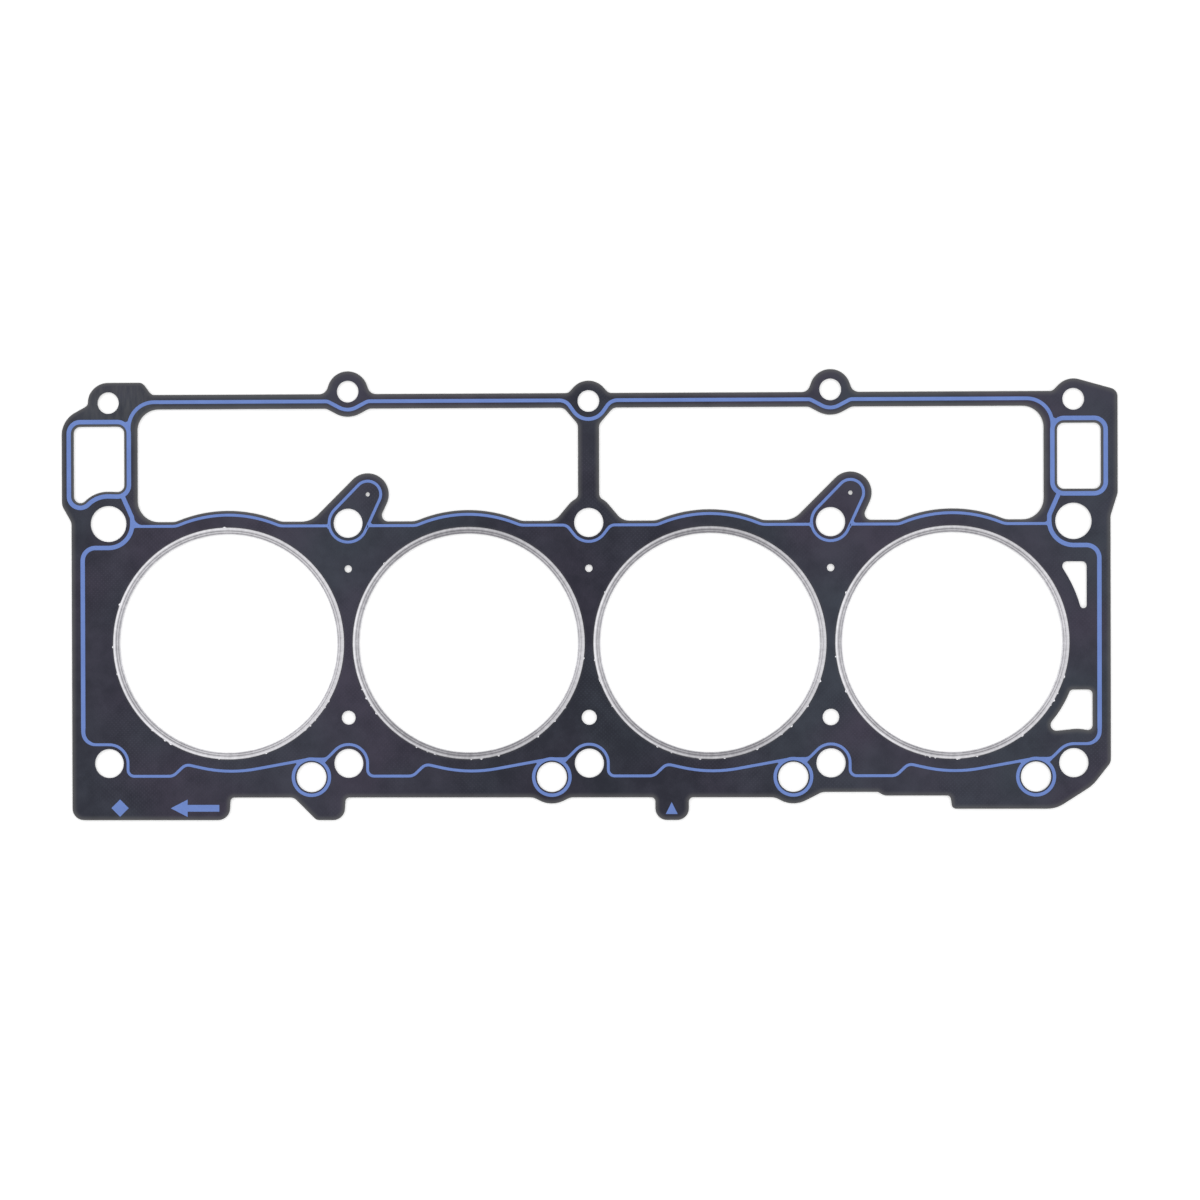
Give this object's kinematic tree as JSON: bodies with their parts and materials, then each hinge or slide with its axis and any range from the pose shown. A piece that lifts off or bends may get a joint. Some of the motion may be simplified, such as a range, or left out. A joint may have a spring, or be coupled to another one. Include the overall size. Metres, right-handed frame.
{
  "type": "cylinder head gasket",
  "caption": "Flat composition cylinder head gasket for one bank of a V8, with steel flanged bores, bolt and fluid holes, open valley windows and a printed silicone bead.",
  "frame": {"origin": "centre of the head bolt pattern, halfway through the thickness of the sheet", "axes": "+X along the row of bores, +Y to the valley side of the engine, +Z to the cylinder head"},
  "size_m": [0.4957, 0.2111, 0.0016],
  "materials": {
    "core_steel": "cold rolled sheet steel, sheared edges",
    "facing": "matt charcoal composition facing with faint calender marks",
    "flange_steel": "thin stainless sheet, rolled and folded, satin with bright crests",
    "wire_steel": "drawn steel wire",
    "silicone": "screen printed silicone, soft satin"
  },
  "bodies": {
    "root": {"steel_core": "core_steel", "top_facing": "facing", "bottom_facing": "facing", "fire_ring_1": "flange_steel", "fire_ring_2": "flange_steel", "fire_ring_3": "flange_steel", "fire_ring_4": "flange_steel", "combustion_wire_1": "wire_steel", "combustion_wire_2": "wire_steel", "combustion_wire_3": "wire_steel", "combustion_wire_4": "wire_steel", "top_seal_bead": "silicone", "bottom_seal_bead": "silicone"}
  },
  "joints": []
}
